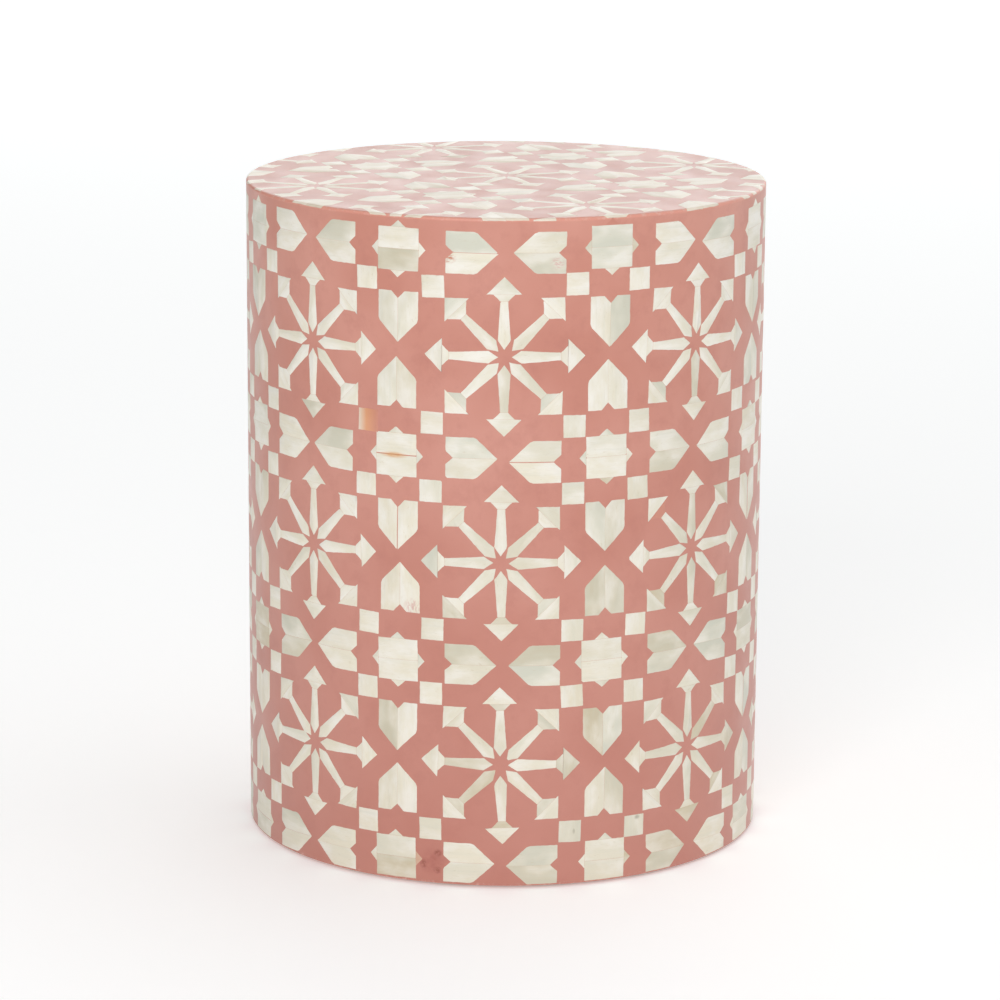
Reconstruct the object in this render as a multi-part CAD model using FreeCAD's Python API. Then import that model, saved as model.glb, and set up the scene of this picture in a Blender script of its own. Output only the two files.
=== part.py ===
import FreeCAD, Part
import math
import os

# A drum stool covered in bone inlay, in millimetres. It stands on z = 0 with its axis along +Z,
# and the star column at angle 0 faces -Y.

# Overall sizes
drum_diameter = 354.0
drum_height = 450.0

# Skin: flat bone plates on a bed of resin, with a bevelled resin rim round the seat
bone_thickness = 2.0
bed_thickness = 1.0
rim_width = 3.0

# Coopered drum inside the skin
stave_count = 16
stave_thickness = 14.0
top_panel_thickness = 15.0
base_panel_thickness = 12.0

# Felt pads under the base panel
pad_count = 4
pad_side = 26.0
pad_height = 2.0
pad_inset = 18.0

# Star pattern: each star fills a square cell, drawn on a grid of 9 by 9 steps
star_columns = 8
star_rows = 3
cell_steps = 9
rim_gap = 0.2
foot_gap = 2.8
bone_joint = 0.25

# Where the pattern lies on the seat: one star almost at the centre, the rows turned
seat_turn_deg = 22.5
seat_star_x = 1.0
seat_star_y = 9.0
smallest_offcut = 3.0

# Outlines, in shares of a grid step
square_half_share = 0.495
block_half_share = 0.93
point_half_share = 0.33
point_height_share = 0.29
petal_tip_share = 0.32
petal_shoulder_share = 0.72
petal_end_share = 2.38
petal_half_shares = (0.29, 0.16)
head_back_share = 0.33
head_depth_share = 0.74
head_half_share = 0.76
axis_head_share = 3.46
corner_head_share = 3.53
shield_tip_share = 0.27
shield_shoulder_share = 1.21
shield_base_share = 2.5
shield_half_share = 0.91
notch_half_share = 0.29
notch_depth_share = 0.32

# Sizes worked out from those above
outer_radius = drum_diameter / 2
bed_radius = outer_radius - bone_thickness
stave_corner_radius = bed_radius - bed_thickness
half_stave_angle = math.pi / stave_count
stave_inner_flat = stave_corner_radius * math.cos(half_stave_angle) - stave_thickness
panel_corner_radius = stave_inner_flat / math.cos(half_stave_angle)
drum_bottom = pad_height
cap_bottom = drum_height - bone_thickness - bed_thickness
seat_bed = drum_height - bone_thickness
seat_radius = outer_radius - rim_width
pad_circle_radius = stave_inner_flat - pad_inset - pad_side / 2

# The grid step round the drum, and the one up the wall that fits the rows between rim and foot
step_round = math.pi * drum_diameter / (star_columns * cell_steps)
wall_steps = star_rows * cell_steps + 2 * block_half_share + point_height_share
pattern_height = cap_bottom - rim_gap - bone_joint - drum_bottom - foot_gap
step_up = pattern_height / wall_steps
lowest_blocks = drum_bottom + foot_gap + block_half_share * step_up
lowest_stars = lowest_blocks + cell_steps * step_up / 2

up = FreeCAD.Vector(0, 0, 1)


def ring_point(radius, angle, height):
    """A point at this angle round the drum, counted from -Y towards +X."""
    return FreeCAD.Vector(radius * math.sin(angle), -radius * math.cos(angle), height)


def face_of(points):
    return Part.Face(Part.makePolygon(points + points[:1]))


def polygon_slab(corner_radius, bottom, height):
    """A slab with one side for each stave."""
    corners = [ring_point(corner_radius, (2 * k + 1) * half_stave_angle, bottom) for k in range(stave_count)]
    return face_of(corners).extrude(up * height)


# Carcass

def floor_pads():
    pads = []
    for k in range(pad_count):
        pad = Part.makeBox(pad_side, pad_side, pad_height, FreeCAD.Vector(-pad_side / 2, -pad_side / 2, 0))
        pad.translate(FreeCAD.Vector(0, -pad_circle_radius, 0))
        pad.rotate(FreeCAD.Vector(0, 0, 0), up, (k + 1 / 2) * 360 / pad_count)
        pads.append(pad)
    return pads


def drum_staves():
    """Staves with mitred edges, glued into a drum that is flush with both panels."""
    staves = []
    for k in range(stave_count):
        left = (2 * k - 1) * half_stave_angle
        right = (2 * k + 1) * half_stave_angle
        corners = [ring_point(stave_corner_radius, left, drum_bottom),
                   ring_point(stave_corner_radius, right, drum_bottom),
                   ring_point(panel_corner_radius, right, drum_bottom),
                   ring_point(panel_corner_radius, left, drum_bottom)]
        staves.append(face_of(corners).extrude(up * (cap_bottom - drum_bottom)))
    return staves


def top_panel():
    return [polygon_slab(panel_corner_radius, cap_bottom - top_panel_thickness, top_panel_thickness)]


def base_panel():
    return [polygon_slab(panel_corner_radius, drum_bottom, base_panel_thickness)]


# Resin

def wall_resin():
    """The bed round the staves: round outside, and as many flats inside as there are staves."""
    height = cap_bottom - drum_bottom
    drum = Part.makeCylinder(bed_radius, height, FreeCAD.Vector(0, 0, drum_bottom))
    return [drum.cut(polygon_slab(stave_corner_radius, drum_bottom, height))]


def seat_resin():
    """The cap over the top panel: its bevelled rim stands round the shallow bed of the bone."""
    profile = [FreeCAD.Vector(0, 0, cap_bottom),
               FreeCAD.Vector(outer_radius, 0, cap_bottom),
               FreeCAD.Vector(seat_radius, 0, drum_height),
               FreeCAD.Vector(seat_radius, 0, seat_bed),
               FreeCAD.Vector(0, 0, seat_bed)]
    return [face_of(profile).revolve(FreeCAD.Vector(0, 0, 0), up, 360)]


# Outlines of the bone, in grid steps from the middle of a star, a block or a cell's side

def turned(outline, quarter_turns):
    """An outline turned about its origin, counter-clockwise."""
    angle = quarter_turns * math.pi / 2
    cos, sin = math.cos(angle), math.sin(angle)
    return [(x * cos - y * sin, x * sin + y * cos) for x, y in outline]


def rectangle(half_share, x=0, y=0):
    return [(x - half_share, y - half_share), (x + half_share, y - half_share),
            (x + half_share, y + half_share), (x - half_share, y + half_share)]


def petal():
    """A long petal that points at the star's middle and narrows outwards."""
    wide, narrow = petal_half_shares
    return [(petal_tip_share, 0), (petal_shoulder_share, -wide), (petal_end_share, -narrow),
            (petal_end_share, narrow), (petal_shoulder_share, wide)]


def arrow_head(point_share):
    """A right-angled arrow head with a short tail that meets the petal."""
    barb = point_share - head_depth_share
    return [(point_share, 0), (barb, head_half_share),
            (barb - head_back_share, 0), (barb, -head_half_share)]


def shield():
    """A shield that points at the middle of a cell's side, with a notch in its base."""
    notch = shield_base_share - notch_depth_share
    right = [(shield_tip_share, 0), (shield_shoulder_share, -shield_half_share),
             (shield_base_share, -shield_half_share), (shield_base_share, -notch_half_share)]
    left = [(x, -y) for x, y in reversed(right[1:])]
    return right + [(notch, 0)] + left


def block_point(step):
    """A small triangle on the side of a block, set off by one glue joint."""
    base = block_half_share + bone_joint / step
    return [(base, -point_half_share), (base + point_height_share, 0), (base, point_half_share)]


eight_turns = [k / 2 for k in range(8)]
four_turns = range(4)


def star_petals():
    return [turned(petal(), turn) for turn in eight_turns]


def axis_heads():
    return [turned(arrow_head(axis_head_share), turn) for turn in four_turns]


def corner_heads():
    return [turned(arrow_head(corner_head_share), turn + 1 / 2) for turn in four_turns]


def star_squares():
    """The four small squares at the corners of the star."""
    middle = (shield_base_share + cell_steps / 2 - block_half_share) / 2
    return [turned(rectangle(square_half_share, middle, middle), turn) for turn in four_turns]


# Placing the bone

def wall_plate(outline, middle_round, middle_height):
    """A flat plate bedded on the round wall. Its outermost corners lie on the drum's surface."""
    across = [x * step_round for x, y in outline]
    middle = (min(across) + max(across)) / 2
    reach = (max(across) - min(across)) / 2
    angle = (middle_round + middle) / outer_radius
    outward = ring_point(1, angle, 0)
    along = FreeCAD.Vector(math.cos(angle), math.sin(angle), 0)
    points = []
    for x, y in outline:
        height = middle_height + y * step_up
        points.append(outward * bed_radius + along * (x * step_round - middle) + up * height)
    front = math.sqrt(outer_radius ** 2 - reach ** 2)
    return face_of(points).extrude(outward * (front - bed_radius))


def wall_places(column_shift, row_shift, rows):
    """Places round the wall, shifted by shares of a cell from the lowest star of column 0."""
    places = []
    for row in range(rows):
        for column in range(star_columns):
            middle_round = (column + column_shift) * cell_steps * step_round
            places.append((middle_round, lowest_stars + (row + row_shift) * cell_steps * step_up))
    return places


star_places = wall_places(0, 0, star_rows)
block_places = wall_places(1 / 2, -1 / 2, star_rows + 1)
side_places = wall_places(1 / 2, 0, star_rows)
level_places = wall_places(0, -1 / 2, star_rows + 1)


def wall_petals():
    return [wall_plate(outline, *place) for place in star_places for outline in star_petals()]


def wall_axis_heads():
    return [wall_plate(outline, *place) for place in star_places for outline in axis_heads()]


def wall_corner_heads():
    return [wall_plate(outline, *place) for place in star_places for outline in corner_heads()]


def wall_upright_shields():
    return [wall_plate(turned(shield(), turn), *place) for place in side_places for turn in (1, 3)]


def wall_level_shields():
    return [wall_plate(turned(shield(), turn), *place) for place in level_places for turn in (0, 2)]


def wall_blocks():
    return [wall_plate(rectangle(block_half_share), *place) for place in block_places]


def wall_block_points():
    """Points on all four sides of a block, but none below the lowest row, where the drum ends."""
    points = []
    for place in block_places:
        turns = four_turns if place[1] > lowest_blocks + step_up else (0, 1, 2)
        points += [wall_plate(turned(block_point(step_up), turn), *place) for turn in turns]
    return points


def wall_small_squares():
    return [wall_plate(outline, *place) for place in star_places for outline in star_squares()]


def seat_plates(outlines, column_shift, row_shift):
    """Plates of one kind on the seat, in every cell that the seat reaches, cut off at the rim."""
    disc = Part.Face(Part.Wire(Part.makeCircle(seat_radius - bone_joint, FreeCAD.Vector(0, 0, seat_bed))))
    cell = cell_steps * step_round
    cells_out = math.ceil(seat_radius / cell) + 1
    plates = []
    for row in range(-cells_out, cells_out + 1):
        for column in range(-cells_out, cells_out + 1):
            for outline in outlines:
                corners = [((column + column_shift) * cell + x * step_round,
                            (row + row_shift) * cell + y * step_round) for x, y in outline]
                points = [FreeCAD.Vector(x + seat_star_x, y + seat_star_y, seat_bed)
                          for x, y in turned(corners, seat_turn_deg / 90)]
                reach = [math.hypot(point.x, point.y) for point in points]
                if min(reach) > outer_radius:
                    continue
                face = face_of(points)
                pieces = [face] if max(reach) < seat_radius - bone_joint else face.common(disc).Faces
                plates += [piece.extrude(up * bone_thickness) for piece in pieces
                           if piece.Area > smallest_offcut ** 2]
    return plates


def seat_petals():
    return seat_plates(star_petals(), 0, 0)


def seat_axis_heads():
    return seat_plates(axis_heads(), 0, 0)


def seat_corner_heads():
    return seat_plates(corner_heads(), 0, 0)


def seat_upright_shields():
    return seat_plates([turned(shield(), turn) for turn in (1, 3)], 1 / 2, 0)


def seat_level_shields():
    return seat_plates([turned(shield(), turn) for turn in (0, 2)], 0, 1 / 2)


def seat_blocks():
    return seat_plates([rectangle(block_half_share)], 1 / 2, 1 / 2)


def seat_block_points():
    return seat_plates([turned(block_point(step_round), turn) for turn in four_turns], 1 / 2, 1 / 2)


def seat_small_squares():
    return seat_plates(star_squares(), 0, 0)


nodes = [floor_pads, drum_staves, top_panel, base_panel, wall_resin, seat_resin,
         wall_petals, wall_axis_heads, wall_corner_heads, wall_upright_shields, wall_level_shields,
         wall_blocks, wall_block_points, wall_small_squares,
         seat_petals, seat_axis_heads, seat_corner_heads, seat_upright_shields, seat_level_shields,
         seat_blocks, seat_block_points, seat_small_squares]

os.makedirs("parts", exist_ok=True)
for make in nodes:
    solids = make()
    Part.makeCompound(solids).exportStep(f"parts/{make.__name__}.step")
    print(make.__name__, len(solids))
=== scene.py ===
import math
import random
import bmesh
import bpy
from mathutils import Matrix, Vector, noise


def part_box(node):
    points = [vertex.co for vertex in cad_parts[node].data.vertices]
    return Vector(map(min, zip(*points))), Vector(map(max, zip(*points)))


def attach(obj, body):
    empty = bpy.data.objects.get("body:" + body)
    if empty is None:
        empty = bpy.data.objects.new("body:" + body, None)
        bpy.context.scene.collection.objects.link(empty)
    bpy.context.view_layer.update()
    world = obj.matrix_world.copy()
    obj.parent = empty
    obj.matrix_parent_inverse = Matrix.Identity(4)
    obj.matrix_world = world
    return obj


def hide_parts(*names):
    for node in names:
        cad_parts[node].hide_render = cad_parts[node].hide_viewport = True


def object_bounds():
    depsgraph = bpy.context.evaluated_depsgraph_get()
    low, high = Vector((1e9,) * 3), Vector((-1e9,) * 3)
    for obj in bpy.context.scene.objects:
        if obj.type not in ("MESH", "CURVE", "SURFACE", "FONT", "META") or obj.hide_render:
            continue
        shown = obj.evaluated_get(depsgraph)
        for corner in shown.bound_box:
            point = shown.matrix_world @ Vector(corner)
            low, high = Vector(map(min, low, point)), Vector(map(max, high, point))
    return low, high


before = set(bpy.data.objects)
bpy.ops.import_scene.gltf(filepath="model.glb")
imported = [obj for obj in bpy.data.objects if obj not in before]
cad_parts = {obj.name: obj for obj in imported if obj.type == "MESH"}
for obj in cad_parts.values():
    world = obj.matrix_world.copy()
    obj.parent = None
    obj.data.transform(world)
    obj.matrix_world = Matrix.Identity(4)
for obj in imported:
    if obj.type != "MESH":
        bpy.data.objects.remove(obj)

cadLow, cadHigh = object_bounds()
mm = 0.001
rng = random.Random(354450)
noise.seed_set(5)  # or its offsets come from the clock; of six tried, this one lets the bone overlap least
bpy.context.scene.view_settings.view_transform = "Standard"

# The drum in millimetres, read off the frame. Bone and resin are laid out flat, as if unrolled, then bent.
drum = {
    "radius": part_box("seat_resin")[1].x / mm,
    "height": cadHigh.z / mm,
    "foot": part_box("wall_resin")[0].z / mm,
    "staveFlat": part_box("drum_staves")[1].y / mm,
    "underCap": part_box("drum_staves")[1].z / mm,
    "staves": 16,
    "resinInset": 0.15,  # resin surface below the box, so that the bone still fits over it
    "rimRound": 2.0,
    "rimLift": 0.04,  # how much prouder the bone stands over the rim
    "footRound": 0.8,
}
resinRadius = drum["radius"] - drum["resinInset"]
seatLevel = drum["height"] - drum["resinInset"]
flatRadius = resinRadius - drum["rimRound"]  # where the seat starts to round over

# The pattern: cells of 9 by 9 steps, in the same places as the solids. On the seat it is turned and moved
# off centre, and goes out to the cells at seatReach.
pattern = {"columns": 8, "rows": 3, "cellSteps": 9, "blockHalf": 0.93, "seatReach": 2, "seatTurn": 22.5,
           "seatX": 1.0, "seatY": 9.0}
blocksLow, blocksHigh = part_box("wall_blocks")
stepRound = 2 * math.pi * drum["radius"] / (pattern["columns"] * pattern["cellSteps"])
stepsUp = pattern["rows"] * pattern["cellSteps"] + 2 * pattern["blockHalf"]
stepUp = (blocksHigh.z - blocksLow.z) / mm / stepsUp
firstStars = blocksLow.z / mm + (pattern["blockHalf"] + pattern["cellSteps"] / 2) * stepUp


# Mesh helpers

def addMesh(name, points, faces, smooth):
    mesh = bpy.data.meshes.new(name)
    mesh.from_pydata(points, [], faces)
    mesh.polygons.foreach_set("use_smooth", smooth)
    mesh.update()
    piece = bpy.data.objects.new(name, mesh)
    bpy.context.scene.collection.objects.link(piece)
    return piece


def onWall(x, y, lift):
    angle = x / drum["radius"]
    reach = (resinRadius + lift) * mm
    return Vector((reach * math.sin(angle), -reach * math.cos(angle), y * mm))


def onSeat(x, y, lift):
    # past the flat the surface turns down over the rim
    out = math.hypot(x, y)
    if out <= flatRadius:
        return Vector((x, y, seatLevel + lift)) * mm
    lift += drum["rimLift"] * min(1, out - flatRadius)
    turn = (out - flatRadius) / drum["rimRound"]
    reach = flatRadius + (drum["rimRound"] + lift) * math.sin(turn)
    level = seatLevel - drum["rimRound"] + (drum["rimRound"] + lift) * math.cos(turn)
    return Vector((x / out * reach, y / out * reach, level)) * mm


# Material helpers

def plug(made, value, socket):
    if isinstance(value, bpy.types.NodeSocket):
        made.node_tree.links.new(value, socket)
    else:
        socket.default_value = value


def newMaterial(name, **sockets):
    made = bpy.data.materials.new(name)
    made.use_nodes = True
    shader = made.node_tree.nodes["Principled BSDF"]
    for socket, value in sockets.items():
        shader.inputs[socket.replace("_", " ")].default_value = value
    return made, shader


def addNode(made, kind, settings=None, **sockets):
    node = made.node_tree.nodes.new(kind)
    for key, value in (settings or {}).items():
        setattr(node, key, value)
    for name, value in sockets.items():
        plug(made, value, node.inputs[name.replace("_", " ")])
    return node


def attribute(made, name, output):
    return addNode(made, "ShaderNodeAttribute", {"attribute_name": name}).outputs[output]


def objectPlace(made):
    return addNode(made, "ShaderNodeTexCoord").outputs["Object"]


def along(made, place, axis):
    return addNode(made, "ShaderNodeSeparateXYZ", Vector=place).outputs[axis]


def noiseOf(made, vector, scale, detail, rough):
    # a scale of three numbers stretches the noise
    if isinstance(scale, tuple):
        vector = addNode(made, "ShaderNodeMapping", Vector=vector, Scale=scale).outputs["Vector"]
        scale = 1
    node = addNode(made, "ShaderNodeTexNoise", Vector=vector, Scale=scale, Detail=detail, Roughness=rough)
    return node.outputs["Fac"]


def ranged(made, value, low, high, toLow=0.0, toHigh=1.0):
    node = addNode(made, "ShaderNodeMapRange", {"clamp": True}, Value=value, From_Min=low, From_Max=high,
                   To_Min=toLow, To_Max=toHigh)
    return node.outputs["Result"]


def calculated(made, operation, a, b):
    node = addNode(made, "ShaderNodeMath", {"operation": operation})
    plug(made, a, node.inputs[0])
    plug(made, b, node.inputs[1])
    return node.outputs["Value"]


def multiplied(made, a, b):
    return calculated(made, "MULTIPLY", a, b)


def added(made, a, b):
    return calculated(made, "ADD", a, b)


def vectorMath(made, operation, vector, other):
    node = addNode(made, "ShaderNodeVectorMath", {"operation": operation})
    plug(made, vector, node.inputs[0])
    plug(made, other, node.inputs[1])
    return node.outputs["Value"]


def mixed(made, factor, first, second):
    node = addNode(made, "ShaderNodeMix", {"data_type": "RGBA"})
    plug(made, factor, node.inputs[0])
    for index, value in ((6, first), (7, second)):
        plug(made, (*value, 1) if isinstance(value, tuple) else value, node.inputs[index])
    return node.outputs[2]


def bumped(made, shader, height, distance):
    bump = addNode(made, "ShaderNodeBump", Height=height, Distance=distance)
    plug(made, bump.outputs["Normal"], shader.inputs["Normal"])


def layered(made, colour, noises, layers, look):
    # each layer: where in the noise it starts and is full, how much of it, and of which colour
    for name, (start, full, most, over) in layers.items():
        colour = mixed(made, ranged(made, noises[name], start, full, 0, most), colour, look[over])
    return colour


def withMarks(made, place, colour, marks, look, noises, grit):
    # stains and dirt with soft edges, each broken up by the noise of its kind
    coarse = {kind: ranged(made, noises[name], *span) for kind, (name, *span) in grit.items()}
    for degrees, height, across, up, kind in marks:
        angle = math.radians(degrees)
        middle = Vector((resinRadius * math.sin(angle), -resinRadius * math.cos(angle), height)) * mm
        shrink = Vector((1 / across, 1 / across, 1 / up)) / mm
        near = addNode(made, "ShaderNodeMapping", Vector=place, Scale=shrink, Location=-middle * shrink)
        share = ranged(made, vectorMath(made, "DISTANCE", near.outputs["Vector"], (0, 0, 0)), 1, 0.3)
        if kind in coarse:
            share = multiplied(made, share, coarse[kind])
        colour = mixed(made, share, colour, look[kind])
    return colour


# Coral resin, poured and sanded: clouded colour, fine specks, a faint ripple, and painted shade deeper
# towards the foot
resinLook = {
    "coral": (0.604, 0.249, 0.187), "deep": (0.490, 0.184, 0.146), "pale": (0.682, 0.312, 0.245),
    # worn is rubbed wear; the rim colour is a painted highlight on the rounded rim
    "worn": (0.80, 0.56, 0.48), "rim": (0.80, 0.345, 0.262), "smudge": (0.40, 0.115, 0.088),
    # the share at the foot is painted shade, darkening the coral low down
    "dirt": (0.32, 0.088, 0.062), "glue": (0.60, 0.27, 0.12), "clouded": (0.35, 0.65), "paintedShadeAtFoot": 0.6,
    "roughness": 0.36, "roughSpread": (-0.05, 0.08), "ripple": 0.00005,
}
# scale, detail and roughness of each noise
resinNoises = {
    "clouds": (14, 3, 0.55), "blots": (60, 5, 0.7), "specks": (650, 2, 0.55), "smears": (230, 4, 0.6),
    "grains": (480, 4, 0.7), "scuffs": (300, 5, 0.75), "sanding": (45, 4, 0.55), "ripple": (220, 3, 0.55),
}
resinLayers = {"blots": (0.50, 0.78, 0.45, "deep"), "specks": (0.72, 0.80, 0.5, "deep")}
# degrees round from the front, then height, half width and half height in millimetres
resinMarks = [
    (-14.6, 16.7, 10.5, 10.5, "smudge"), (-13.5, 23.1, 3.4, 3.2, "dirt"), (-16.7, 14.9, 3.0, 3.6, "dirt"),
    (-13.6, 11.2, 3.4, 3.0, "dirt"), (-14.5, 18.0, 3.0, 4.2, "smudge"), (-23.6, 291.4, 11.0, 2.5, "glue"),
]
resinGrit = {"smudge": ("smears", 0.3, 0.6, 0.1, 0.5), "dirt": ("grains", 0.36, 0.60, 0.1, 1)}
# wear along rim and foot and the band of painted highlight, in millimetres up and down, then where the scuffs
# show and how much
wearAndRimHighlight = {"underRim": 1.6, "seatEdge": 0.1, "highlightBand": 0.3, "aboveFoot": 2.5, "scuffed": (0.52, 0.66, 0, 0.7),
        "rougher": 0.3}


def makeResin():
    made, shader = newMaterial("coralResin", Roughness=resinLook["roughness"], IOR=1.5)
    place = objectPlace(made)
    height = along(made, place, "Z")
    noises = {name: noiseOf(made, place, *numbers) for name, numbers in resinNoises.items()}
    clouds = ranged(made, noises["clouds"], *resinLook["clouded"])
    colour = mixed(made, clouds, resinLook["coral"], resinLook["pale"])
    colour = layered(made, colour, noises, resinLayers, resinLook)
    # painted shade: from the seat down to the foot the coral is mixed more and more towards the deep colour
    low = ranged(made, height, 0, seatLevel * mm, resinLook["paintedShadeAtFoot"], 0)
    colour = mixed(made, low, colour, resinLook["deep"])
    colour = withMarks(made, place, colour, resinMarks, resinLook, noises, resinGrit)
    corner = seatLevel - drum["rimRound"] / 2
    overRim = ranged(made, height, (corner - wearAndRimHighlight["underRim"]) * mm, corner * mm)
    offSeat = ranged(made, height, (seatLevel + wearAndRimHighlight["seatEdge"]) * mm, (seatLevel - wearAndRimHighlight["seatEdge"]) * mm)
    atRim = multiplied(made, overRim, offSeat)
    atFoot = ranged(made, height, (drum["foot"] + wearAndRimHighlight["aboveFoot"]) * mm, drum["foot"] * mm)
    # painted highlight: the rounded rim just under the seat's edge is a lighter coral
    paintedRimHighlight = ranged(made, height, seatLevel * mm, (seatLevel - wearAndRimHighlight["highlightBand"]) * mm)
    colour = mixed(made, multiplied(made, atRim, paintedRimHighlight), colour, resinLook["rim"])
    scuffs = ranged(made, noises["scuffs"], *wearAndRimHighlight["scuffed"])
    worn = multiplied(made, added(made, atRim, atFoot), scuffs)
    colour = mixed(made, worn, colour, resinLook["worn"])
    plug(made, colour, shader.inputs["Base Color"])
    least, most = (resinLook["roughness"] + spread for spread in resinLook["roughSpread"])
    rough = ranged(made, noises["sanding"], 0.3, 0.7, least, most)
    rough = added(made, rough, multiplied(made, worn, wearAndRimHighlight["rougher"]))
    plug(made, rough, shader.inputs["Roughness"])
    bumped(made, shader, noises["ripple"], resinLook["ripple"])
    return made


# Bone, cut by hand: each piece has its own shade, and clouds, streaks and pores along its own grain
boneLook = {
    "white": (0.905, 0.872, 0.795), "cream": (0.83, 0.775, 0.632), "grey": (0.66, 0.655, 0.55),
    "tan": (0.57, 0.47, 0.30), "edge": (0.68, 0.50, 0.36), "film": (0.74, 0.35, 0.185),
    "stain": (0.60, 0.22, 0.13), "scratch": (0.68, 0.36, 0.33), "glue": (0.74, 0.40, 0.17),
    # the seat colour and its share are painted warm light on the bone of the seat
    "knot": (0.30, 0.27, 0.19), "seat": (1.0, 0.80, 0.64), "seatWarmLightShare": 0.45, "clouded": (0.36, 0.66),
    # the share at the foot is painted shade, making the bone creamer and darker low down
    "paintedShadeTowardsFoot": 0.3, "roughness": 0.38, "roughSpread": (-0.06, 0.1), "streak": 0.00002,
}
# stretch, detail and roughness of each noise, all along the grain
boneNoises = {
    "drift": ((34, 60, 1), 2, 0.55), "clouds": ((42, 90, 1), 3, 0.6), "streaks": ((22, 320, 1), 5, 0.62),
    "fine": ((120, 1700, 1), 2, 0.6), "pores": ((260, 2600, 3), 1, 0.55), "blots": ((170, 330, 2), 4, 0.7),
    "pits": ((500, 700, 5), 2, 0.55), "soaked": ((240, 900, 2), 4, 0.7),
    "scratches": ((330, 1500, 2), 3, 0.7),
}
# how a piece's own grey and tan come and go over it
boneShades = {"grey": ("drift", 0.38, 0.62, 0.3, 1.35), "tan": ("clouds", 0.30, 0.62, 0.5, 1.1)}
boneLayers = {
    "streaks": (0.52, 0.76, 0.35, "grey"), "fine": (0.60, 0.80, 0.2, "tan"),
    "pores": (0.70, 0.78, 0.4, "tan"), "blots": (0.64, 0.80, 0.5, "tan"), "pits": (0.74, 0.80, 0.6, "tan"),
}
# where resin, glue or dirt has soaked into the bone, given as for the resin
boneMarks = [
    (-11.6, 423.8, 6.0, 4.5, "stain"), (11.3, 420.3, 6.0, 5.0, "scratch"),
    (-19.4, 190.0, 7.0, 7.0, "scratch"), (-23.6, 291.4, 11.0, 2.4, "glue"),
    (16.0, 38.4, 1.0, 2.2, "knot"), (31.0, 43.0, 2.4, 2.0, "knot"),
]
boneGrit = {"stain": ("soaked", 0.44, 0.60, 0, 1), "scratch": ("scratches", 0.46, 0.60, 0, 0.8),
            "glue": ("soaked", 0.3, 0.6, 0.6, 1), "knot": ("soaked", 0.3, 0.6, 0.3, 0.8)}
# a thin film of resin over a few pieces, from clear to orange to coral, by metres across the drum
filmSpan = {"clear": -0.0950, "orange": -0.0892, "coral": -0.0806, "least": 0.1}


def makeBone():
    made, shader = newMaterial("bone", Roughness=boneLook["roughness"], IOR=1.5)
    place = objectPlace(made)
    height = along(made, place, "Z")
    grain = attribute(made, "grain", "Vector")
    noises = {name: noiseOf(made, grain, *numbers) for name, numbers in boneNoises.items()}
    # painted shade: the cream of the clouds grows towards the foot, so the bone is creamer and darker low
    # down
    low = ranged(made, height, 0, seatLevel * mm, boneLook["paintedShadeTowardsFoot"], 0)
    clouds = added(made, ranged(made, noises["clouds"], *boneLook["clouded"]), low)
    colour = mixed(made, clouds, boneLook["white"], boneLook["cream"])
    for shade, (name, *span) in boneShades.items():
        share = multiplied(made, attribute(made, shade, "Fac"), ranged(made, noises[name], *span))
        colour = mixed(made, share, colour, boneLook[shade])
    colour = layered(made, colour, noises, boneLayers, boneLook)
    colour = withMarks(made, place, colour, boneMarks, boneLook, noises, boneGrit)
    # painted warm light: the bone on the seat is tinted warmer than the bone on the wall
    paintedSeatLight = ranged(made, height, (seatLevel - 2) * mm, (seatLevel - 1) * mm, 0, boneLook["seatWarmLightShare"])
    colour = mixed(made, paintedSeatLight, colour, boneLook["seat"])
    colour = mixed(made, attribute(made, "edge", "Fac"), colour, boneLook["edge"])
    film = attribute(made, "film", "Fac")
    across = along(made, place, "X")
    orange = ranged(made, across, filmSpan["clear"], filmSpan["orange"], filmSpan["least"], 1)
    colour = mixed(made, multiplied(made, film, orange), colour, boneLook["film"])
    sunk = ranged(made, across, filmSpan["orange"], filmSpan["coral"])
    colour = mixed(made, multiplied(made, film, sunk), colour, resinLook["coral"])
    plug(made, colour, shader.inputs["Base Color"])
    least, most = (boneLook["roughness"] + spread for spread in boneLook["roughSpread"])
    plug(made, ranged(made, noises["streaks"], 0.3, 0.7, least, most), shader.inputs["Roughness"])
    bumped(made, shader, noises["fine"], boneLook["streak"])
    return made


# Hidden woods and felt, seen only from below
woods = {
    "staveWood": {"light": (0.46, 0.25, 0.12), "dark": (0.27, 0.13, 0.06), "figure": (90, 90, 6),
                  "fibre": (900, 900, 20)},
    "boardWood": {"light": (0.42, 0.26, 0.14), "dark": (0.26, 0.15, 0.08), "figure": (8, 120, 60),
                  "fibre": (22, 900, 300)},
}
woodLook = {"pore": (0.07, 0.035, 0.018), "roughness": 0.7, "smoothest": 0.58, "roughest": 0.82,
            "fibre": 0.00015}
feltLook = {"dark": (0.028, 0.024, 0.022), "pale": (0.06, 0.052, 0.048), "roughness": 0.95, "fibre": 0.0004}


def makeWood(name):
    look = woods[name]
    made, shader = newMaterial(name, Roughness=woodLook["roughness"])
    place = objectPlace(made)
    figure = noiseOf(made, place, look["figure"], 6, 0.62)
    fibres = noiseOf(made, place, look["fibre"], 3, 0.6)
    pores = noiseOf(made, place, tuple(2 * number for number in look["fibre"]), 1, 0.55)
    colour = mixed(made, ranged(made, figure, 0.35, 0.7), look["light"], look["dark"])
    colour = mixed(made, ranged(made, fibres, 0.42, 0.70, 0, 0.6), colour, look["dark"])
    colour = mixed(made, ranged(made, pores, 0.66, 0.74, 0, 0.8), colour, woodLook["pore"])
    plug(made, colour, shader.inputs["Base Color"])
    rough = ranged(made, figure, 0.3, 0.7, woodLook["smoothest"], woodLook["roughest"])
    plug(made, rough, shader.inputs["Roughness"])
    bumped(made, shader, fibres, woodLook["fibre"])
    return made


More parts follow.
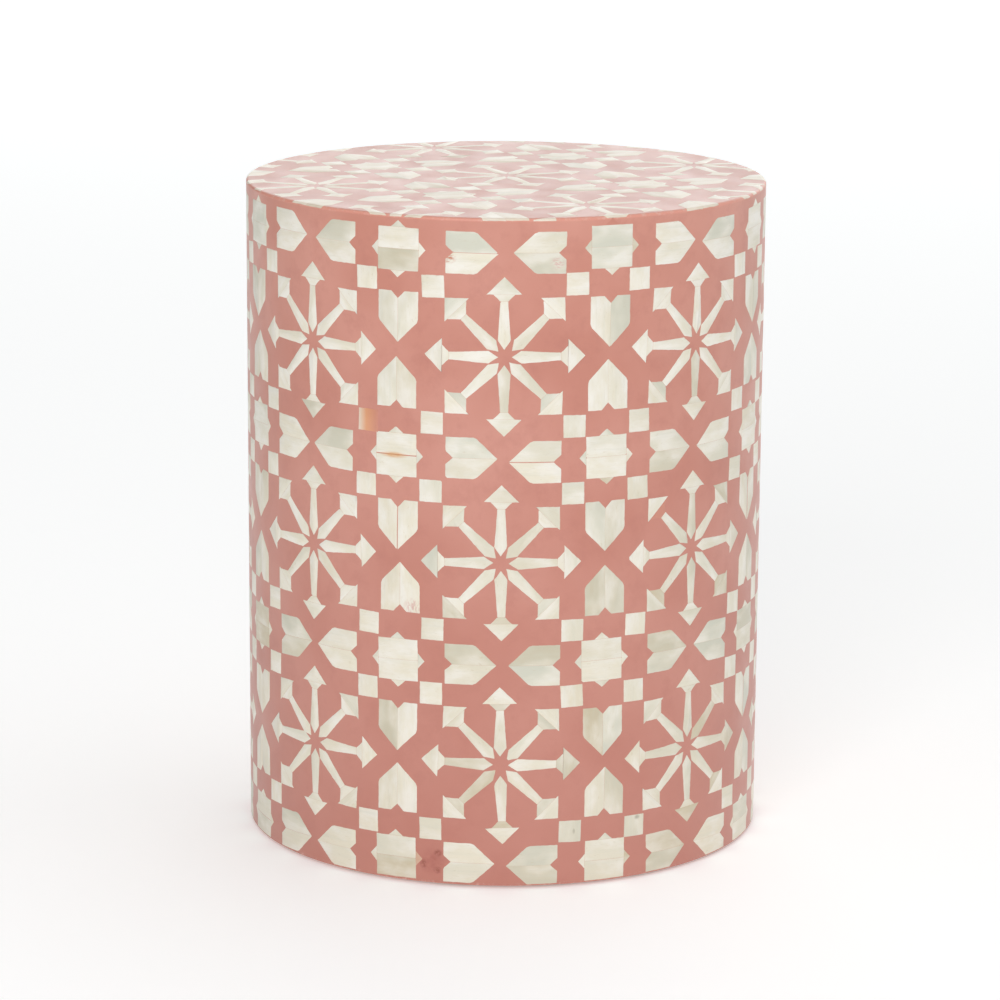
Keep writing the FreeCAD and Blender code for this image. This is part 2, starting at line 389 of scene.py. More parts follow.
def makeFelt():
    made, shader = newMaterial("felt", Roughness=feltLook["roughness"])
    fibres = noiseOf(made, objectPlace(made), 900, 6, 0.7)
    plug(made, mixed(made, fibres, feltLook["dark"], feltLook["pale"]), shader.inputs["Base Color"])
    bumped(made, shader, fibres, feltLook["fibre"])
    return made


resin = makeResin()
bone = makeBone()
staveWood = makeWood("staveWood")
boardWood = makeWood("boardWood")
felt = makeFelt()
hidden = {"drum_staves": staveWood, "top_panel": boardWood, "base_panel": boardWood, "floor_pads": felt}
for node, finish in hidden.items():
    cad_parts[node].data.materials.clear()
    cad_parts[node].data.materials.append(finish)
print("materials ready")


# The resin coat: one skin over wall, rim and seat, with the staves' flats inside
coatSteps = {"around": 256, "foot": 4, "rim": 8}


def makeResinCoat():
    around, rim, foot = coatSteps["around"], drum["rimRound"], drum["footRound"]
    profile = []
    for k in range(coatSteps["foot"] + 1):
        turn = math.pi / 2 * k / coatSteps["foot"]
        low = drum["foot"] + foot * (1 - math.cos(turn))
        profile.append((resinRadius - foot * (1 - math.sin(turn)), low))
    for k in range(coatSteps["rim"] + 1):
        turn = math.pi / 2 * k / coatSteps["rim"]
        profile.append((flatRadius + rim * math.cos(turn), seatLevel - rim * (1 - math.sin(turn))))
    points, faces, smooth = [], [], []
    halfStave = math.pi / drum["staves"]
    for k in range(around):
        angle = 2 * math.pi * k / around
        offset = (angle + halfStave) % (2 * halfStave) - halfStave
        inside = drum["staveFlat"] / math.cos(offset)
        column = [(inside, drum["underCap"]), (inside, drum["foot"]), *profile]
        points += [Vector((r * math.sin(angle), -r * math.cos(angle), z)) * mm for r, z in column]
    size = len(points) // around
    for k in range(around):
        here, there = k * size, (k + 1) % around * size
        for j in range(size - 1):
            faces.append((here + j, there + j, there + j + 1, here + j + 1))
            smooth.append(j > 1)
    faces.append([k * size + size - 1 for k in range(around)])
    faces.append([k * size for k in reversed(range(around))])
    smooth += [False, False]
    coat = addMesh("resinCoat", points, faces, smooth)
    coat.data.materials.append(resin)
    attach(coat, "root")
    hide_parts("wall_resin", "seat_resin")


makeResinCoat()
print("resin coat made")


# Hand work on the bone, in millimetres unless the name says otherwise
hand = {
    "starShift": 0.7, "shift": 0.45, "turnDeg": 1.6,  # how far a star, and any piece, strays from its place
    "wobble": 1.0, "wobbleTight": 0.04,  # corners out of true, and how fast that changes across a piece
    "blunt": 0.3, "chip": 1.0, "chipChance": 0.05,
    "sawStep": 2.2, "sawWave": 0.2, "sawTight": 0.4,
    "proud": 0.02, "proudSpread": 0.03, "thick": 1.7, "bevel": 0.18, "sunk": 0.06,
    "joint": 0.02, "wideJoint": 0.4, "wideChance": 0.12,
    "jointBevel": 0.11, "jointDepth": 0.25, "jointTint": 0.6,
    "glueReach": 0.8,  # a side nearer than this to its neighbour's is a glued joint
    "glueOff": 0.6, "glueEnd": 0.02,  # so is a corner this near a side, but for this share at the side's ends
    "strip": 5.0, "rimStrip": 0.4,  # strips that let a piece bend round the wall and over the rim
    "overRim": (2.5, 3.1), "smallest": 4.0,  # where the seat's pieces end, and the narrowest that is laid
}


def turnedBy(outline, quarterTurns):
    cos, sin = math.cos(quarterTurns * math.pi / 2), math.sin(quarterTurns * math.pi / 2)
    return [(x * cos - y * sin, x * sin + y * cos) for x, y in outline]


def mirrored(outline):
    return [(x, -y) for x, y in reversed(outline)]


def sawn(corners):
    # blunt the corners, chip a few, then split the edges into short saw strokes
    points = []
    count = len(corners)
    for k in range(count):
        here = Vector(corners[k])
        before, after = Vector(corners[k - 1]) - here, Vector(corners[(k + 1) % count]) - here
        cut = hand["blunt"] * rng.uniform(0.3, 1.5)
        if rng.random() < hand["chipChance"]:
            cut += hand["chip"] * rng.random()
        cut = min(cut, before.length / 3, after.length / 3)
        points += [here + before.normalized() * cut, here + after.normalized() * cut]
    fine = []
    for k, here in enumerate(points):
        there = points[(k + 1) % len(points)]
        strokes = max(1, round((there - here).length / hand["sawStep"]))
        fine += [here.lerp(there, j / strokes) for j in range(strokes)]
    return fine


def insideRim(corners, reach):
    # cuts a convex outline with the rim's circle, taken as 96 short sides
    sides = 96
    kept = [Vector(c) for c in corners]
    for k in range(sides):
        out = Vector((math.cos(2 * math.pi * k / sides), math.sin(2 * math.pi * k / sides)))
        before, kept = kept, []
        for j, here in enumerate(before):
            last = before[j - 1]
            a, b = last.dot(out) - reach, here.dot(out) - reach
            if (a < 0) != (b < 0):
                kept.append(last.lerp(here, a / (a - b)))
            if b < 0:
                kept.append(here)
        if len(kept) < 3:
            return []
    return [tuple(p) for p in kept]


def spanOf(corners):
    return min(max(values) - min(values) for values in zip(*corners))


def gapTo(point, outlines):
    # distance from a point to the nearest side of its glued neighbours
    gaps = [2 * drum["radius"]]
    for outline in outlines:
        for k, a in enumerate(outline):
            side = outline[k - 1] - a
            share = min(max((point - a).dot(side) / side.length_squared, 0), 1)
            gaps.append((point - a - side * share).length)
    return min(gaps)


def bendingCuts(surface, outline):
    # where a slab is cut into strips: upright ones on the wall, rings and spokes over the rim
    if surface is onWall:
        left, right = min(p.x for p in outline), max(p.x for p in outline)
        strips = math.ceil((right - left) / hand["strip"])
        return [((left + (right - left) * k / strips, 0, 0), (1, 0, 0)) for k in range(1, strips)]
    if max(p.length for p in outline) <= flatRadius:
        return []
    out = sum(outline, Vector((0, 0))).normalized().to_3d()
    across = Vector((-out.y, out.x, 0))
    rings = [(out * (flatRadius + hand["rimStrip"] * k), out) for k in range(-1, 8)]
    return rings + [(across * k * hand["strip"], across) for k in range(-5, 6)]


groups = {}


def layPiece(group, surface, corners, neighbours, grainTurn, looks):
    # one slab of bone: a front in strips, a bevel, sides and a back
    outline = sawn(corners)
    seed = rng.uniform(0, 500)
    sheet = bmesh.new()
    sheet.faces.new([sheet.verts.new((*p, 0)) for p in outline])
    for point, normal in bendingCuts(surface, outline):
        bmesh.ops.bisect_plane(sheet, geom=sheet.verts[:] + sheet.edges[:] + sheet.faces[:],
                               plane_co=point, plane_no=normal, dist=0.0001)
    sheet.verts.index_update()
    inward = [Vector((0, 0)) for _ in sheet.verts]
    border = []
    for face in sheet.faces:
        for loop in face.loops:
            if len(loop.edge.link_faces) == 1:
                a, b = loop.vert, loop.link_loop_next.vert
                border.append((a.index, b.index))
                side = Vector((a.co.y - b.co.y, b.co.x - a.co.x)).normalized()
                inward[a.index] += side
                inward[b.index] += side
    middle = sum(outline, Vector((0, 0))) / len(outline)
    cos, sin = math.cos(grainTurn), math.sin(grainTurn)
    height = hand["proud"] + rng.uniform(0, hand["proudSpread"])
    empty = {"points": [], "faces": [], "smooth": [], "looks": {}, "edge": [], "grain": []}
    store = groups.setdefault(group, empty)
    first = len(store["points"])
    count = len(sheet.verts)
    flat = []
    for vert in sheet.verts:
        # glued joints stay straight, fine and shallow; open edges wave with the saw
        glued = gapTo(vert.co.to_2d(), neighbours) < hand["glueReach"]
        along2d = Vector((vert.co.x * hand["sawTight"], vert.co.y * hand["sawTight"], seed))
        wave = noise.noise(along2d) * hand["sawWave"] * (not glued)
        normal = inward[vert.index].normalized()
        flat.append((vert.co.to_2d() + normal * wave, normal, glued))
    for ring in ("top", "edge", "back"):
        for place, normal, glued in flat:
            at = place + normal * (hand["jointBevel"] if glued else hand["bevel"]) * (ring == "top")
            sunk = height - (height + hand["sunk"]) * (hand["jointDepth"] if glued else 1)
            level = {"top": height, "edge": sunk, "back": -hand["thick"]}[ring]
            store["points"].append(surface(at.x, at.y, level))
            store["edge"].append(0 if ring == "top" else hand["jointTint"] if glued else 1)
            away = at - middle
            store["grain"] += [(away.x * cos + away.y * sin) * mm, (away.y * cos - away.x * sin) * mm, seed]
    for key, value in looks.items():
        store["looks"].setdefault(key, []).extend([min(max(value, 0), 1)] * 3 * count)
    for face in sheet.faces:
        loop = [first + v.index for v in face.verts]
        store["faces"] += [loop, [i + 2 * count for i in reversed(loop)]]
        store["smooth"] += [True, False]
    for a, b in border:
        a, b = a + first, b + first
        store["faces"] += [(b, a, a + count, b + count), (b + count, a + count, a + 2 * count, b + 2 * count)]
        store["smooth"] += [False, False]
    sheet.free()


def makeGroup(name, node):
    store = groups.pop(name)
    piece = addMesh(name, store["points"], store["faces"], store["smooth"])
    for key, values in {**store["looks"], "edge": store["edge"]}.items():
        piece.data.attributes.new(key, "FLOAT", "POINT").data.foreach_set("value", values)
    piece.data.attributes.new("grain", "FLOAT_VECTOR", "POINT").data.foreach_set("vector", store["grain"])
    piece.data.materials.append(bone)
    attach(piece, "root")
    if node:
        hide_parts(node)
    print(name, len(store["faces"]), "faces")


# Outlines of the bone in grid steps, seen along a ray from a star's middle, or from the middle of a cell's
# side or of a block
motif = {
    "petal": [(0.31, 0), (0.72, -0.28), (2.40, -0.17), (2.40, 0.17), (0.72, 0.28)],
    "axisNeck": [(2.403, -0.17), (2.698, -0.46), (2.698, 0.46), (2.403, 0.17)],
    "axisHead": [(2.70, -0.76), (3.46, 0), (2.70, 0.76)],
    "cornerNeck": [(2.403, -0.17), (2.798, -0.58), (2.798, 0.58), (2.403, 0.17)],
    "cornerHead": [(2.80, -0.75), (3.53, 0), (2.80, 0.75)],
    "smallSquare": [(2.54, 2.54), (3.53, 2.54), (3.53, 3.53), (2.54, 3.53)],
    "shieldHalf": [(0.27, 0), (1.15, -0.852), (1.30, -0.91), (2.50, -0.91), (2.50, -0.29), (2.18, 0)],
    "blockHalf": [(-0.93, 0), (-0.93, -0.93), (0.93, -0.93), (0.93, 0)],
    "blockPoint": [(0.933, -0.34), (1.24, 0), (0.933, 0.34)],
}


# One spot is a star, a block or the middle of a cell's side, on the wall or on the seat
def wallSpots(columnShift, rowShift, rows):
    cell = pattern["cellSteps"]
    half = pattern["columns"] // 2
    return [{"side": "wall", "surface": onWall, "turn": 0, "stepX": stepRound, "stepY": stepUp,
             "x": (column + columnShift) * cell * stepRound,
             "y": firstStars + (row + rowShift) * cell * stepUp, "row": row, "column": column}
            for row in range(rows) for column in range(1 - half, half + 1)]


def seatSpots(columnShift, rowShift):
    cell = pattern["cellSteps"] * stepRound
    turn = math.radians(pattern["seatTurn"])
    cos, sin = math.cos(turn), math.sin(turn)
    spots = []
    for row in range(-pattern["seatReach"], pattern["seatReach"] + 1):
        for column in range(-pattern["seatReach"], pattern["seatReach"] + 1):
            x, y = (column + columnShift) * cell, (row + rowShift) * cell
            spots.append({"side": "seat", "surface": onSeat, "turn": turn,
                          "stepX": stepRound, "stepY": stepRound,
                          "x": x * cos - y * sin + pattern["seatX"],
                          "y": x * sin + y * cos + pattern["seatY"], "row": row, "column": column})
    return spots


# Round the sides the photographed bone lies wider apart, and lower towards the foot: in degrees from the
# front, then in millimetres
sides = {"fromDegrees": 45, "mostDegrees": 68, "toDegrees": 130, "right": 4.5, "left": -2.4, "low": -3.7,
         "lowFrom": 310, "lowMost": 130, "aboveFoot": 1.0}


def eased(value, start, end):
    share = min(max((value - start) / (end - start), 0), 1)
    return share * share * (3 - 2 * share)


def drifted(place):
    degrees = (math.degrees(place.x / drum["radius"]) + 180) % 360 - 180
    share = eased(abs(degrees), sides["fromDegrees"], sides["mostDegrees"])
    share *= eased(abs(degrees), sides["toDegrees"], sides["mostDegrees"])
    x = place.x + share * sides["right" if degrees > 0 else "left"]
    y = place.y + share * sides["low"] * eased(place.y, sides["lowFrom"], sides["lowMost"])
    return Vector((x, max(y, drum["foot"] + sides["aboveFoot"])))


def layUnit(spot, parts, quarterTurns, loose):
    # parts that were glued up together stray and wobble together; each is (kind, outline, grain turns, looks)
    cos, sin = math.cos(spot["turn"]), math.sin(spot["turn"])
    placed = []
    for kind, outline, grainQuarters, looks in parts:
        turned = turnedBy(outline, quarterTurns)
        corners = [Vector((x * spot["stepX"], y * spot["stepY"])) for x, y in turned]
        placed.append([Vector((spot["x"] + c.x * cos - c.y * sin, spot["y"] + c.x * sin + c.y * cos))
                       for c in corners])
    every = [c for corners in placed for c in corners]
    pivot = sum(every, Vector((0, 0))) / len(every)
    shift = Vector((rng.gauss(0, hand["shift"]), rng.gauss(0, hand["shift"]))) * loose
    swing = Matrix.Rotation(math.radians(rng.gauss(0, hand["turnDeg"])) * loose, 2)
    seed = rng.uniform(0, 500)

    def bent(corner):
        through = Vector((corner.x * hand["wobbleTight"], corner.y * hand["wobbleTight"], seed))
        wobble = noise.noise_vector(through) * hand["wobble"] * loose
        moved = pivot + shift + swing @ (corner - pivot) + wobble.to_2d()
        return drifted(moved) if spot["side"] == "wall" else moved

    def settled(corner, own):
        # a corner glued onto the side of another part stays on that side
        for corners in placed:
            for k, a in enumerate(corners):
                side = corners[k - 1] - a
                share = (corner - a).dot(side) / side.length_squared
                off = corner - a - side * share
                between = hand["glueEnd"] < share < 1 - hand["glueEnd"]
                if corners is not own and between and off.length < hand["glueOff"]:
                    return bent(a).lerp(bent(corners[k - 1]), share) + off
        return bent(corner)

    outlines = [[settled(corner, corners) for corner in corners] for corners in placed]
    for (kind, outline, grainQuarters, looks), laid in zip(parts, outlines):
        neighbours = [other for other in outlines if other is not laid]
        if spot["side"] == "seat":
            if min(c.length for c in laid) > flatRadius + 1:
                continue
            laid = insideRim(laid, flatRadius + rng.uniform(*hand["overRim"]))
            if len(laid) < 3 or spanOf(laid) < hand["smallest"]:
                continue
        grainTurn = spot["turn"] + (quarterTurns + grainQuarters) * math.pi / 2
        layPiece(spot["side"] + kind, spot["surface"], laid, neighbours, grainTurn, looks)


# Shades of bone as (grey, tan), how far a piece may stray from its shade, and how often each kind has which
shades = {"white": (0.05, 0.0), "cream": (0.2, 0.12), "grey": (0.75, 0.0), "dull": (0.6, 0.22),
          "olive": (0.95, 0.42), "tan": (0.35, 0.62)}
strayed = {"grey": 0.12, "tan": 0.07}
shadesOf = {
    "Petals": {"white": 8, "cream": 5, "dull": 1},
    "Heads": {"white": 8, "cream": 4, "grey": 1},
    "Necks": {"white": 5, "cream": 5, "dull": 2, "grey": 2},
    "SmallSquares": {"white": 8, "cream": 4, "dull": 1},
    "BlockPoints": {"white": 4, "cream": 4, "grey": 2},
    "laidHalf": {"white": 3, "cream": 2},
    "firstHalf": {"white": 5, "cream": 6, "grey": 5, "dull": 3, "olive": 1, "tan": 1},
    "secondHalf": {"white": 5, "cream": 6, "grey": 4, "dull": 2},
}
sameHalves = 0.4  # how often both halves come from one bone

# What shows from the front is laid as in the photograph, by column from the middle and row from the floor;
# the rest is left to chance. "at" and squares are millimetres off the grid, rays are millimetres outward and
# degrees of lean.
laidStars = {
    (-1, 0): {"at": (0, -1), "shade": "white", "rays": {4: (-0.5, -2), 7: (0.5, -2.5)},
              "squares": {0: (-0.5, 1), 1: (1.5, 1), 2: (1, 1)}},
    (0, 0): {"at": (0, -1.5), "rays": {2: (1, 1), 3: (1, -1.5), 4: (0, -2), 6: (2.5, 2)},
             "squares": {1: (0, 1), 3: (0, -1)}},
    (1, 0): {"at": (-0.5, -2.5), "shade": "cream", "rays": {0: (-1, 0), 2: (1.5, -1), 6: (1, 1)},
             "squares": {0: (0, 1.5), 1: (0, 1), 2: (1.5, -1), 3: (-0.5, 1.5)}},
    (-1, 1): {"at": (-0.5, -0.5), "shade": "white", "rays": {0: (0, 2)},
              "squares": {0: (-1.5, 1), 2: (1, 1.1), 3: (1, 0)}},
    (0, 1): {"at": (-0.5, -1), "shade": "cream", "rays": {},
             "squares": {1: (0, 1), 2: (1.5, 0), 3: (1, -0.5)}},
    (1, 1): {"at": (0.5, -1.5), "shade": "cream", "rays": {1: (-0.5, 1.5), 6: (1.5, 0)},
             "squares": {1: (0, 1), 2: (0, 1), 3: (0.5, 0.5)}},
    (-1, 2): {"at": (-0.5, 0), "shade": "white", "rays": {4: (0.5, 2), 7: (1, 0)},
              "squares": {0: (-0.5, 1), 2: (1.5, -0.5), 3: (1, -1)}},
    (0, 2): {"at": (0.5, -0.5), "rays": {1: (1.5, 0), 4: (-1, -1)},
             "squares": {0: (1.5, 1.5), 1: (0.5, -1), 2: (-1, 1)}},
    (1, 2): {"at": (1.5, 0.5), "rays": {0: (0, -2), 1: (0, -1.5), 2: (0.5, -2), 3: (0.5, -2.5), 4: (0.5, -3),
                                        5: (0.5, -3), 6: (0, -1), 7: (0, -2)},
             "squares": {0: (0.5, -1), 1: (-1.5, 1), 2: (0, -1)}},
}
# pairs by column, row and quarter turns: millimetres off the grid, then the shade of the upper or left half
# and of the other one
laidPairs = {
    "Blocks": {
        (-1, 0, 0): (-2, -1, "cream", "tan"), (0, 0, 0): (2, -2),
        (-1, 1, 0): (-0.5, -1.5, "white", "white"), (0, 1, 0): (-1.5, -0.5),
        (-1, 2, 0): (-2, 0, "white", "white"), (0, 2, 0): (0, 0), (1, 2, 0): (2, -0.5, "cream", "white"),
        (-2, 3, 0): (-0.5, 0, "grey", "grey"), (-1, 3, 0): (-0.5, -0.5, "white", "olive"),
        (0, 3, 0): (2.5, 1.5, "grey", "grey"), (1, 3, 0): (5.5, -1, "white", "white"),
    },
    "UprightShields": {
        (-1, 0, 1): (-1, 0, "olive", "white"), (-1, 0, 3): (-1, 0, "white", "white"),
        (0, 0, 1): (-0.5, -2.5, "tan", "grey"), (0, 0, 3): (1.5, -2, "cream", "dull"),
        (-1, 1, 1): (-1, 0.5), (-1, 1, 3): (1, 1, "cream", "white"),
        (0, 1, 1): (-0.5, 0.5, "grey", "dull"), (0, 1, 3): (0, 0, "olive", "dull"),
        (-2, 2, 1): (-2.5, 0, "dull", "dull"), (-2, 2, 3): (1, 0, "dull", "cream"),
        (-1, 2, 1): (-0.5, 2.5, "cream", "cream"), (-1, 2, 3): (-1.5, 1.5, "cream", "cream"),
        (0, 2, 1): (1.5, 0, "cream", "grey"), (0, 2, 3): (0.5, 0.5),
        (1, 2, 1): (3, -2, "cream", "cream"), (1, 2, 3): (2.5, -0.5, "grey", "white"),
    },
    "LevelShields": {
        (-1, 0, 0): (-2, -2, "white", "white"), (-1, 0, 2): (0.5, -1, "dull", "cream"),
        (0, 0, 0): (0, -3, "grey", "dull"), (0, 0, 2): (0.5, -1.5),
        (1, 0, 0): (3, -2.5), (1, 0, 2): (2.5, -3, "tan", "olive"),
        (-1, 1, 0): (-1, -1, "white", "white"), (-1, 1, 2): (2, -0.5, "grey", "dull"),
        (0, 1, 0): (0.5, -2, "olive", "grey"), (0, 1, 2): (1, -1.5, "olive", "cream"),
        (1, 1, 0): (0, -1, "grey", "grey"), (1, 1, 2): (1.5, -0.5, "olive", "dull"),
        (-1, 2, 0): (-3.5, -1, "dull", "white"), (-1, 2, 2): (0.5, -0.5, "white", "white"),
        (0, 2, 0): (0, -1.5), (0, 2, 2): (1, 0.5, "grey", "cream"),
        (1, 2, 0): (-0.5, -1, "white", "white"), (1, 2, 2): (1.5, -0.5, "cream", "dull"),
        (-1, 3, 0): (-1.5, 0.5, "dull", "cream"), (-1, 3, 2): (-1.5, 1.5),
        (0, 3, 0): (2, -0.5, "cream", "dull"), (0, 3, 2): (1, -1, "grey", "white"),
        (1, 3, 0): (1.5, -1, "grey", "cream"), (1, 3, 2): (3.5, 1),
    },
}
# single pieces by kind, column, row and turn: joints that have opened, resin over the bone, and odd shades
openJoints = {("Blocks", -1, 2, 0): 0.3, ("LevelShields", 0, 2, 0): 0.25, ("LevelShields", 0, 3, 2): 0.1,
              ("UprightShields", -1, 1, 1): 0.25}
filmed = {("SmallSquares", -1, 2, 3): 1, ("Necks", 1, 1, 3): 0.9, ("BlockPoints", -1, 0, 0): 0.35,
          ("BlockPoints", 0, 3, 1): 1}
oddPieces = {
    "tan": [("Petals", 0, 0, 5), ("Petals", 1, 0, 1), ("Heads", 1, 0, 0), ("Heads", 1, 0, 6),
            ("Heads", 1, 1, 7), ("Necks", 0, 0, 6), ("Necks", 1, 0, 7), ("Necks", 0, 1, 6),
            ("Necks", 1, 1, 5), ("Necks", 1, 1, 7), ("BlockPoints", -1, 0, 0), ("BlockPoints", 0, 0, 0),
            ("BlockPoints", 0, 2, 3), ("BlockPoints", 0, 3, 0)],
    "olive": [("Heads", 0, 0, 0), ("Heads", 0, 1, 5), ("Heads", 1, 1, 1), ("Heads", -1, 2, 6),
              ("BlockPoints", 0, 3, 2)],
    "dull": [("Petals", 1, 1, 2), ("Petals", 1, 1, 6), ("Heads", 1, 1, 6), ("SmallSquares", 0, 0, 3),
             ("BlockPoints", 0, 1, 3)],
    "grey": [("Heads", 0, 1, 4)],
    "white": [("Heads", 1, 1, 3), ("Necks", 0, 1, 4), ("Necks", 0, 1, 5), ("SmallSquares", 0, 2, 1),
              ("SmallSquares", 0, 2, 2), ("BlockPoints", 0, 1, 0), ("BlockPoints", -1, 1, 3),
              ("BlockPoints", -1, 3, 0), ("BlockPoints", 1, 3, 3)],
}
oddShades = {piece: shade for shade, pieces in oddPieces.items() for piece in pieces}
# how loosely a piece lies, when laid as in the photograph and when left to chance
looseness = {"ray": (0.3, 0.7), "square": (0.5, 1.2), "pair": (0.3, 1)}


def isSeen(spot):
    return spot["side"] == "wall" and abs(spot["column"]) < 2


def anyShade(kind):
    return rng.choices(list(shadesOf[kind]), list(shadesOf[kind].values()))[0]


def looksOf(shade, film=0):
    grey, tan = shades[shade]
    grey += rng.gauss(0, strayed["grey"])
    tan += rng.gauss(0, strayed["tan"])
    return {"grey": grey, "tan": tan, "film": film}


def looksFor(spot, kind, k, usual=None):
    key = (kind, spot["column"], spot["row"], k) if isSeen(spot) else None
    shade = anyShade(kind)
    return looksOf(oddShades.get(key, usual or shade), filmed.get(key, 0))


def layStar(spot):
    laid = laidStars[spot["column"], spot["row"]] if isSeen(spot) else {"rays": {}, "squares": {}}
    usual = laid.get("shade")
    dx, dy = laid.get("at") or (rng.gauss(0, hand["starShift"]), rng.gauss(0, hand["starShift"]))
    spot["x"] += dx
    spot["y"] += dy
    for k in range(8):
        ray = "corner" if k % 2 else "axis"
        petalLook = looksFor(spot, "Petals", k, usual)
        headLook = looksFor(spot, "Heads", k, usual)
        neckLook = looksFor(spot, "Necks", k, usual)
        parts = [("Petals", motif["petal"], 0, petalLook),
                 (ray.capitalize() + "Necks", motif[ray + "Neck"], 1, neckLook),
                 (ray.capitalize() + "Heads", motif[ray + "Head"], 1, headLook)]
        outward, lean = laid["rays"].get(k, (0, 0))
        away = math.radians(k * 45)
        moved = {**spot, "x": spot["x"] + outward * math.cos(away), "y": spot["y"] + outward * math.sin(away),
                 "turn": spot["turn"] + math.radians(lean)}
        layUnit(moved, parts, k / 2, looseness["ray"][not isSeen(spot)])
    for k in range(4):
        look = looksFor(spot, "SmallSquares", k, usual)
        dx, dy = laid["squares"].get(k, (0, 0))
        square = ("SmallSquares", motif["smallSquare"], rng.randrange(2), look)
        layUnit({**spot, "x": spot["x"] + dx, "y": spot["y"] + dy}, [square], k,
                looseness["square"][not isSeen(spot)])


def layPair(spot, kind, outline, quarterTurns, glued=()):
    # two halves side by side, now and then with a wide joint between them, and what is glued round them
    key = (spot["column"], spot["row"], quarterTurns)
    laid = laidPairs[kind].get(key) if spot["side"] == "wall" else None
    gap = hand["joint"] * rng.uniform(0.5, 2)
    if laid:
        gap += openJoints.get((kind, *key), 0)
        dx, dy, *pair = laid
        pair = pair or [anyShade("laidHalf"), anyShade("laidHalf")]
    else:
        if rng.random() < hand["wideChance"]:
            gap += hand["wideJoint"] * rng.random()
        dx, dy = 0, 0
        pair = [anyShade("firstHalf")]
        pair.append(pair[0] if rng.random() < sameHalves else anyShade("secondHalf"))
    if quarterTurns < 2:
        pair = pair[::-1]
    gap /= stepRound
    parts = []
    for shape, shade, away in ((outline, pair[0], -gap), (mirrored(outline), pair[1], gap)):
        parts.append((kind, [(x, y + away) for x, y in shape], 0, looksOf(shade)))
    for piece, shape, turn, look in glued:
        # the points above and below move out with the halves
        away = {1: gap, 3: -gap}.get(turn, 0)
        parts.append((piece, [(x, y + away) for x, y in shape], turn, look))
    layUnit({**spot, "x": spot["x"] + dx, "y": spot["y"] + dy}, parts, quarterTurns,
            looseness["pair"][laid is None])


def layShields(spot, kind, turns):
    for turn in turns:
        layPair(spot, kind, motif["shieldHalf"], turn)


def layBlock(spot, pointTurns):
    points = []
    for turn in pointTurns:
        look = looksFor(spot, "BlockPoints", turn)
        points.append(("BlockPoints", turnedBy(motif["blockPoint"], turn), turn, look))
    layPair(spot, "Blocks", motif["blockHalf"], 0, points)


rows = pattern["rows"]
for spot in wallSpots(0, 0, rows) + seatSpots(0, 0):
    layStar(spot)
for spot in wallSpots(0.5, 0, rows) + seatSpots(0.5, 0):
    layShields(spot, "UprightShields", (1, 3))
for spot in wallSpots(0, -0.5, rows + 1) + seatSpots(0, 0.5):
    layShields(spot, "LevelShields", (0, 2))
for spot in wallSpots(0.5, -0.5, rows + 1) + seatSpots(0.5, 0.5):
    lowest = spot["side"] == "wall" and spot["row"] == 0
    layBlock(spot, (0, 1, 2) if lowest else (0, 1, 2, 3))

boneNodes = {"Petals": "petals", "AxisHeads": "axis_heads", "AxisNecks": None, "CornerHeads": "corner_heads",
             "CornerNecks": None, "UprightShields": "upright_shields", "LevelShields": "level_shields",
             "Blocks": "blocks", "BlockPoints": "block_points", "SmallSquares": "small_squares"}
for kind, node in boneNodes.items():
    for side in ("wall", "seat"):
        makeGroup(side + kind, node and side + "_" + node)
print("bone laid")


# Floor and light: a room brighter overhead, in front and at the right, and soft boxes
stage = {"floorRadius": 14.0, "floor": (0.94, 0.94, 0.94), "roughness": 0.8, "shine": 0.2, "glow": 0.25,
         "aim": (0, 0, 0.25)}
roomLight = {"overhead": ((0, 0, 1), 0.58), "front": ((-0.1, -0.995, 0), 0.22),
             "right": ((0.9, 0.436, 0), 0.72)}
softBoxes = {
    "key": {"at": (-0.6, -3.2, 1.6), "size": (1.6, 1.6), "bright": 5.0, "colour": (1.0, 1.0, 1.0)},
    "sheen": {"at": (0.8, 8.0, 2.8), "size": (7.5, 3.6), "bright": 1.88, "colour": (0.93, 1.0, 1.0)},
}


def makeFloor():
    around = 64
    angles = [2 * math.pi * k / around for k in range(around)]
    points = [Vector((math.cos(angle), math.sin(angle), 0)) * stage["floorRadius"] for angle in angles]
    floor = addMesh("floor", points, [list(range(around))], [False])
    # lit a little from below, as a light table is
    made, shader = newMaterial("paleFloor", Base_Color=(*stage["floor"], 1), Roughness=stage["roughness"],
                               Specular_IOR_Level=stage["shine"], Emission_Color=(1, 1, 1, 1),
                               Emission_Strength=stage["glow"])
    floor.data.materials.append(made)


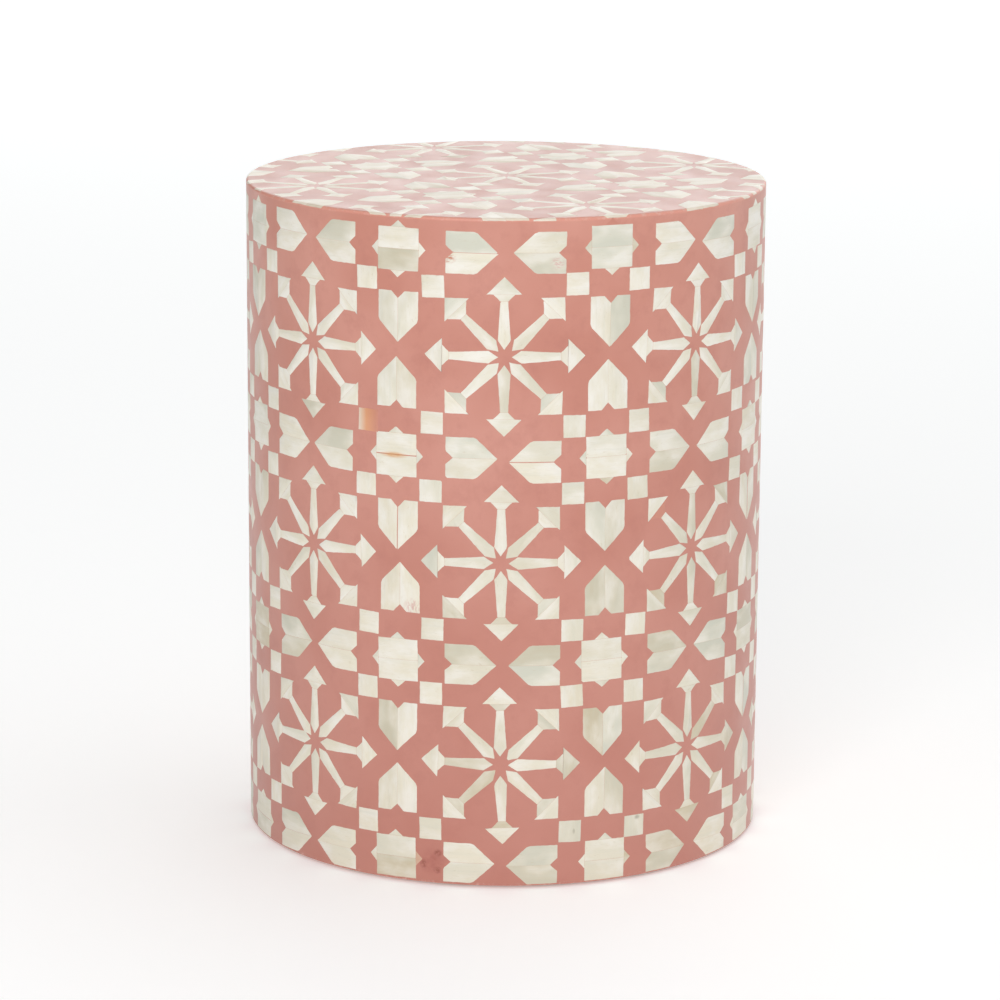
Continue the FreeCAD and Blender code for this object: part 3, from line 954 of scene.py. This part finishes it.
def makeLight():
    world = bpy.data.worlds.new("studio")
    world.use_nodes = True
    room = world.node_tree.nodes["Background"]
    way = addNode(world, "ShaderNodeTexCoord").outputs["Generated"]
    parts = [ranged(world, vectorMath(world, "DOT_PRODUCT", way, towards), 0, 1, 0, brightness)
             for towards, brightness in roomLight.values()]
    plug(world, added(world, added(world, parts[0], parts[1]), parts[2]), room.inputs["Strength"])
    room.inputs["Color"].default_value = (1, 1, 1, 1)
    bpy.context.scene.world = world
    for name, box in softBoxes.items():
        lamp = bpy.data.lights.new(name, "AREA")
        lamp.shape = "RECTANGLE"
        lamp.size, lamp.size_y = box["size"]
        lamp.energy = box["bright"] * math.pi * lamp.size * lamp.size_y
        lamp.color = box["colour"]
        lit = bpy.data.objects.new(name, lamp)
        lit.location = box["at"]
        lit.rotation_mode = "QUATERNION"
        lit.rotation_quaternion = (Vector(stage["aim"]) - lit.location).to_track_quat("-Z", "Y")
        lit.visible_camera = False
        bpy.context.scene.collection.objects.link(lit)


# The camera fitted to the drum's outline in the photograph, in degrees, metres and millimetres of lens
viewpoint = {"azimuth": 0.4, "distance": 2.84504, "elevation": 13.0434, "yaw": -0.0573, "pitch": -0.0182,
             "roll": -0.3665, "lens": 147.667, "sensor": 36}


def swung(first, second, angle):
    cos, sin = math.cos(angle), math.sin(angle)
    return first * cos - second * sin, first * sin + second * cos


def makeCamera():
    elevation, yaw, pitch, roll = (math.radians(viewpoint[k]) for k in ("elevation", "yaw", "pitch", "roll"))
    right, ahead = Vector((1, 0, 0)), Vector((0, math.cos(elevation), -math.sin(elevation)))
    up = right.cross(ahead)
    right, ahead = swung(right, ahead, yaw)
    up, ahead = swung(up, ahead, pitch)
    right, up = swung(right, up, roll)
    lens = bpy.data.cameras.new("camera")
    lens.sensor_width = viewpoint["sensor"]
    lens.lens = viewpoint["lens"]
    camera = bpy.data.objects.new("camera", lens)
    turn = Matrix((right, up, -ahead)).transposed().to_4x4()
    start = Vector((0, -math.cos(elevation), math.sin(elevation))) * viewpoint["distance"]
    place = Matrix.Translation(start + Vector((0, 0, cadHigh.z / 2))) @ turn
    camera.matrix_world = Matrix.Rotation(math.radians(viewpoint["azimuth"]), 4, "Z") @ place
    bpy.context.scene.collection.objects.link(camera)
    bpy.context.scene.camera = camera


makeFloor()
makeLight()
makeCamera()
print("stage set")
